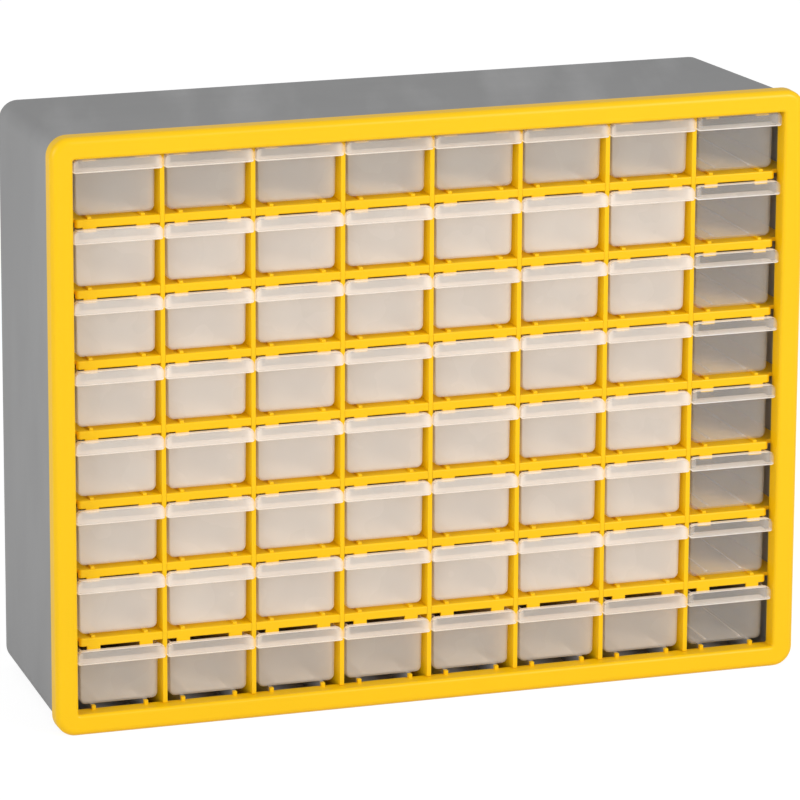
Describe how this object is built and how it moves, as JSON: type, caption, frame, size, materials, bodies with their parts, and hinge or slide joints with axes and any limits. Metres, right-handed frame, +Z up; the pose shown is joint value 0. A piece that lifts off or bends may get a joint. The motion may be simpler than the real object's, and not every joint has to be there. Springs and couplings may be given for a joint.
{
  "type": "parts bin cabinet",
  "caption": "Upright cabinet with a shallow casing, a rolled front frame and a grid of small translucent drawers that pull out to the front.",
  "frame": {"origin": "centre of the cabinet's footprint, on the surface it stands on", "axes": "+X to the right as seen from the front, +Y to the back, +Z up; the drawers open towards -Y"},
  "size_m": [0.5, 0.158, 0.386],
  "materials": {
    "casing_grey": "satin moulded plastic",
    "frame_yellow": "semi-gloss moulded plastic",
    "drawer_clear": "frosted translucent moulded plastic"
  },
  "bodies": {
    "cabinet": {"casing": "casing_grey", "front_bezel": "frame_yellow", "column_dividers": "frame_yellow", "row_shelves": "frame_yellow"},
    "drawer_row1_col1": {"drawer_row1_col1": "drawer_clear"},
    "drawer_row1_col2": {"drawer_row1_col2": "drawer_clear"},
    "drawer_row1_col3": {"drawer_row1_col3": "drawer_clear"},
    "drawer_row1_col4": {"drawer_row1_col4": "drawer_clear"},
    "drawer_row1_col5": {"drawer_row1_col5": "drawer_clear"},
    "drawer_row1_col6": {"drawer_row1_col6": "drawer_clear"},
    "drawer_row1_col7": {"drawer_row1_col7": "drawer_clear"},
    "drawer_row1_col8": {"drawer_row1_col8": "drawer_clear"},
    "drawer_row2_col1": {"drawer_row2_col1": "drawer_clear"},
    "drawer_row2_col2": {"drawer_row2_col2": "drawer_clear"},
    "drawer_row2_col3": {"drawer_row2_col3": "drawer_clear"},
    "drawer_row2_col4": {"drawer_row2_col4": "drawer_clear"},
    "drawer_row2_col5": {"drawer_row2_col5": "drawer_clear"},
    "drawer_row2_col6": {"drawer_row2_col6": "drawer_clear"},
    "drawer_row2_col7": {"drawer_row2_col7": "drawer_clear"},
    "drawer_row2_col8": {"drawer_row2_col8": "drawer_clear"},
    "drawer_row3_col1": {"drawer_row3_col1": "drawer_clear"},
    "drawer_row3_col2": {"drawer_row3_col2": "drawer_clear"},
    "drawer_row3_col3": {"drawer_row3_col3": "drawer_clear"},
    "drawer_row3_col4": {"drawer_row3_col4": "drawer_clear"},
    "drawer_row3_col5": {"drawer_row3_col5": "drawer_clear"},
    "drawer_row3_col6": {"drawer_row3_col6": "drawer_clear"},
    "drawer_row3_col7": {"drawer_row3_col7": "drawer_clear"},
    "drawer_row3_col8": {"drawer_row3_col8": "drawer_clear"},
    "drawer_row4_col1": {"drawer_row4_col1": "drawer_clear"},
    "drawer_row4_col2": {"drawer_row4_col2": "drawer_clear"},
    "drawer_row4_col3": {"drawer_row4_col3": "drawer_clear"},
    "drawer_row4_col4": {"drawer_row4_col4": "drawer_clear"},
    "drawer_row4_col5": {"drawer_row4_col5": "drawer_clear"},
    "drawer_row4_col6": {"drawer_row4_col6": "drawer_clear"},
    "drawer_row4_col7": {"drawer_row4_col7": "drawer_clear"},
    "drawer_row4_col8": {"drawer_row4_col8": "drawer_clear"},
    "drawer_row5_col1": {"drawer_row5_col1": "drawer_clear"},
    "drawer_row5_col2": {"drawer_row5_col2": "drawer_clear"},
    "drawer_row5_col3": {"drawer_row5_col3": "drawer_clear"},
    "drawer_row5_col4": {"drawer_row5_col4": "drawer_clear"},
    "drawer_row5_col5": {"drawer_row5_col5": "drawer_clear"},
    "drawer_row5_col6": {"drawer_row5_col6": "drawer_clear"},
    "drawer_row5_col7": {"drawer_row5_col7": "drawer_clear"},
    "drawer_row5_col8": {"drawer_row5_col8": "drawer_clear"},
    "drawer_row6_col1": {"drawer_row6_col1": "drawer_clear"},
    "drawer_row6_col2": {"drawer_row6_col2": "drawer_clear"},
    "drawer_row6_col3": {"drawer_row6_col3": "drawer_clear"},
    "drawer_row6_col4": {"drawer_row6_col4": "drawer_clear"},
    "drawer_row6_col5": {"drawer_row6_col5": "drawer_clear"},
    "drawer_row6_col6": {"drawer_row6_col6": "drawer_clear"},
    "drawer_row6_col7": {"drawer_row6_col7": "drawer_clear"},
    "drawer_row6_col8": {"drawer_row6_col8": "drawer_clear"},
    "drawers_row7_col1_2": {"drawers_row7_col1_2": "drawer_clear"},
    "drawers_row7_col3_4": {"drawers_row7_col3_4": "drawer_clear"},
    "drawers_row7_col5_6": {"drawers_row7_col5_6": "drawer_clear"},
    "drawers_row7_col7_8": {"drawers_row7_col7_8": "drawer_clear"},
    "drawers_row8_col1_2": {"drawers_row8_col1_2": "drawer_clear"},
    "drawers_row8_col3_4": {"drawers_row8_col3_4": "drawer_clear"},
    "drawers_row8_col5_6": {"drawers_row8_col5_6": "drawer_clear"},
    "drawers_row8_col7_8": {"drawers_row8_col7_8": "drawer_clear"}
  },
  "joints": [
    {"name": "drawer_row1_col1_slide", "type": "slide", "parent": "cabinet", "child": "drawer_row1_col1", "axis": [0, -1, 0], "range_m": [0, 0.133]},
    {"name": "drawer_row1_col2_slide", "type": "slide", "parent": "cabinet", "child": "drawer_row1_col2", "axis": [0, -1, 0], "range_m": [0, 0.133]},
    {"name": "drawer_row1_col3_slide", "type": "slide", "parent": "cabinet", "child": "drawer_row1_col3", "axis": [0, -1, 0], "range_m": [0, 0.133]},
    {"name": "drawer_row1_col4_slide", "type": "slide", "parent": "cabinet", "child": "drawer_row1_col4", "axis": [0, -1, 0], "range_m": [0, 0.133]},
    {"name": "drawer_row1_col5_slide", "type": "slide", "parent": "cabinet", "child": "drawer_row1_col5", "axis": [0, -1, 0], "range_m": [0, 0.133]},
    {"name": "drawer_row1_col6_slide", "type": "slide", "parent": "cabinet", "child": "drawer_row1_col6", "axis": [0, -1, 0], "range_m": [0, 0.133]},
    {"name": "drawer_row1_col7_slide", "type": "slide", "parent": "cabinet", "child": "drawer_row1_col7", "axis": [0, -1, 0], "range_m": [0, 0.133]},
    {"name": "drawer_row1_col8_slide", "type": "slide", "parent": "cabinet", "child": "drawer_row1_col8", "axis": [0, -1, 0], "range_m": [0, 0.133]},
    {"name": "drawer_row2_col1_slide", "type": "slide", "parent": "cabinet", "child": "drawer_row2_col1", "axis": [0, -1, 0], "range_m": [0, 0.133]},
    {"name": "drawer_row2_col2_slide", "type": "slide", "parent": "cabinet", "child": "drawer_row2_col2", "axis": [0, -1, 0], "range_m": [0, 0.133]},
    {"name": "drawer_row2_col3_slide", "type": "slide", "parent": "cabinet", "child": "drawer_row2_col3", "axis": [0, -1, 0], "range_m": [0, 0.133]},
    {"name": "drawer_row2_col4_slide", "type": "slide", "parent": "cabinet", "child": "drawer_row2_col4", "axis": [0, -1, 0], "range_m": [0, 0.133]},
    {"name": "drawer_row2_col5_slide", "type": "slide", "parent": "cabinet", "child": "drawer_row2_col5", "axis": [0, -1, 0], "range_m": [0, 0.133]},
    {"name": "drawer_row2_col6_slide", "type": "slide", "parent": "cabinet", "child": "drawer_row2_col6", "axis": [0, -1, 0], "range_m": [0, 0.133]},
    {"name": "drawer_row2_col7_slide", "type": "slide", "parent": "cabinet", "child": "drawer_row2_col7", "axis": [0, -1, 0], "range_m": [0, 0.133]},
    {"name": "drawer_row2_col8_slide", "type": "slide", "parent": "cabinet", "child": "drawer_row2_col8", "axis": [0, -1, 0], "range_m": [0, 0.133]},
    {"name": "drawer_row3_col1_slide", "type": "slide", "parent": "cabinet", "child": "drawer_row3_col1", "axis": [0, -1, 0], "range_m": [0, 0.133]},
    {"name": "drawer_row3_col2_slide", "type": "slide", "parent": "cabinet", "child": "drawer_row3_col2", "axis": [0, -1, 0], "range_m": [0, 0.133]},
    {"name": "drawer_row3_col3_slide", "type": "slide", "parent": "cabinet", "child": "drawer_row3_col3", "axis": [0, -1, 0], "range_m": [0, 0.133]},
    {"name": "drawer_row3_col4_slide", "type": "slide", "parent": "cabinet", "child": "drawer_row3_col4", "axis": [0, -1, 0], "range_m": [0, 0.133]},
    {"name": "drawer_row3_col5_slide", "type": "slide", "parent": "cabinet", "child": "drawer_row3_col5", "axis": [0, -1, 0], "range_m": [0, 0.133]},
    {"name": "drawer_row3_col6_slide", "type": "slide", "parent": "cabinet", "child": "drawer_row3_col6", "axis": [0, -1, 0], "range_m": [0, 0.133]},
    {"name": "drawer_row3_col7_slide", "type": "slide", "parent": "cabinet", "child": "drawer_row3_col7", "axis": [0, -1, 0], "range_m": [0, 0.133]},
    {"name": "drawer_row3_col8_slide", "type": "slide", "parent": "cabinet", "child": "drawer_row3_col8", "axis": [0, -1, 0], "range_m": [0, 0.133]},
    {"name": "drawer_row4_col1_slide", "type": "slide", "parent": "cabinet", "child": "drawer_row4_col1", "axis": [0, -1, 0], "range_m": [0, 0.133]},
    {"name": "drawer_row4_col2_slide", "type": "slide", "parent": "cabinet", "child": "drawer_row4_col2", "axis": [0, -1, 0], "range_m": [0, 0.133]},
    {"name": "drawer_row4_col3_slide", "type": "slide", "parent": "cabinet", "child": "drawer_row4_col3", "axis": [0, -1, 0], "range_m": [0, 0.133]},
    {"name": "drawer_row4_col4_slide", "type": "slide", "parent": "cabinet", "child": "drawer_row4_col4", "axis": [0, -1, 0], "range_m": [0, 0.133]},
    {"name": "drawer_row4_col5_slide", "type": "slide", "parent": "cabinet", "child": "drawer_row4_col5", "axis": [0, -1, 0], "range_m": [0, 0.133]},
    {"name": "drawer_row4_col6_slide", "type": "slide", "parent": "cabinet", "child": "drawer_row4_col6", "axis": [0, -1, 0], "range_m": [0, 0.133]},
    {"name": "drawer_row4_col7_slide", "type": "slide", "parent": "cabinet", "child": "drawer_row4_col7", "axis": [0, -1, 0], "range_m": [0, 0.133]},
    {"name": "drawer_row4_col8_slide", "type": "slide", "parent": "cabinet", "child": "drawer_row4_col8", "axis": [0, -1, 0], "range_m": [0, 0.133]},
    {"name": "drawer_row5_col1_slide", "type": "slide", "parent": "cabinet", "child": "drawer_row5_col1", "axis": [0, -1, 0], "range_m": [0, 0.133]},
    {"name": "drawer_row5_col2_slide", "type": "slide", "parent": "cabinet", "child": "drawer_row5_col2", "axis": [0, -1, 0], "range_m": [0, 0.133]},
    {"name": "drawer_row5_col3_slide", "type": "slide", "parent": "cabinet", "child": "drawer_row5_col3", "axis": [0, -1, 0], "range_m": [0, 0.133]},
    {"name": "drawer_row5_col4_slide", "type": "slide", "parent": "cabinet", "child": "drawer_row5_col4", "axis": [0, -1, 0], "range_m": [0, 0.133]},
    {"name": "drawer_row5_col5_slide", "type": "slide", "parent": "cabinet", "child": "drawer_row5_col5", "axis": [0, -1, 0], "range_m": [0, 0.133]},
    {"name": "drawer_row5_col6_slide", "type": "slide", "parent": "cabinet", "child": "drawer_row5_col6", "axis": [0, -1, 0], "range_m": [0, 0.133]},
    {"name": "drawer_row5_col7_slide", "type": "slide", "parent": "cabinet", "child": "drawer_row5_col7", "axis": [0, -1, 0], "range_m": [0, 0.133]},
    {"name": "drawer_row5_col8_slide", "type": "slide", "parent": "cabinet", "child": "drawer_row5_col8", "axis": [0, -1, 0], "range_m": [0, 0.133]},
    {"name": "drawer_row6_col1_slide", "type": "slide", "parent": "cabinet", "child": "drawer_row6_col1", "axis": [0, -1, 0], "range_m": [0, 0.133]},
    {"name": "drawer_row6_col2_slide", "type": "slide", "parent": "cabinet", "child": "drawer_row6_col2", "axis": [0, -1, 0], "range_m": [0, 0.133]},
    {"name": "drawer_row6_col3_slide", "type": "slide", "parent": "cabinet", "child": "drawer_row6_col3", "axis": [0, -1, 0], "range_m": [0, 0.133]},
    {"name": "drawer_row6_col4_slide", "type": "slide", "parent": "cabinet", "child": "drawer_row6_col4", "axis": [0, -1, 0], "range_m": [0, 0.133]},
    {"name": "drawer_row6_col5_slide", "type": "slide", "parent": "cabinet", "child": "drawer_row6_col5", "axis": [0, -1, 0], "range_m": [0, 0.133]},
    {"name": "drawer_row6_col6_slide", "type": "slide", "parent": "cabinet", "child": "drawer_row6_col6", "axis": [0, -1, 0], "range_m": [0, 0.133]},
    {"name": "drawer_row6_col7_slide", "type": "slide", "parent": "cabinet", "child": "drawer_row6_col7", "axis": [0, -1, 0], "range_m": [0, 0.133]},
    {"name": "drawer_row6_col8_slide", "type": "slide", "parent": "cabinet", "child": "drawer_row6_col8", "axis": [0, -1, 0], "range_m": [0, 0.133]},
    {"name": "drawers_row7_col1_2_slide", "type": "slide", "parent": "cabinet", "child": "drawers_row7_col1_2", "axis": [0, -1, 0], "range_m": [0, 0.133]},
    {"name": "drawers_row7_col3_4_slide", "type": "slide", "parent": "cabinet", "child": "drawers_row7_col3_4", "axis": [0, -1, 0], "range_m": [0, 0.133]},
    {"name": "drawers_row7_col5_6_slide", "type": "slide", "parent": "cabinet", "child": "drawers_row7_col5_6", "axis": [0, -1, 0], "range_m": [0, 0.133]},
    {"name": "drawers_row7_col7_8_slide", "type": "slide", "parent": "cabinet", "child": "drawers_row7_col7_8", "axis": [0, -1, 0], "range_m": [0, 0.133]},
    {"name": "drawers_row8_col1_2_slide", "type": "slide", "parent": "cabinet", "child": "drawers_row8_col1_2", "axis": [0, -1, 0], "range_m": [0, 0.133]},
    {"name": "drawers_row8_col3_4_slide", "type": "slide", "parent": "cabinet", "child": "drawers_row8_col3_4", "axis": [0, -1, 0], "range_m": [0, 0.133]},
    {"name": "drawers_row8_col5_6_slide", "type": "slide", "parent": "cabinet", "child": "drawers_row8_col5_6", "axis": [0, -1, 0], "range_m": [0, 0.133]},
    {"name": "drawers_row8_col7_8_slide", "type": "slide", "parent": "cabinet", "child": "drawers_row8_col7_8", "axis": [0, -1, 0], "range_m": [0, 0.133]}
  ]
}
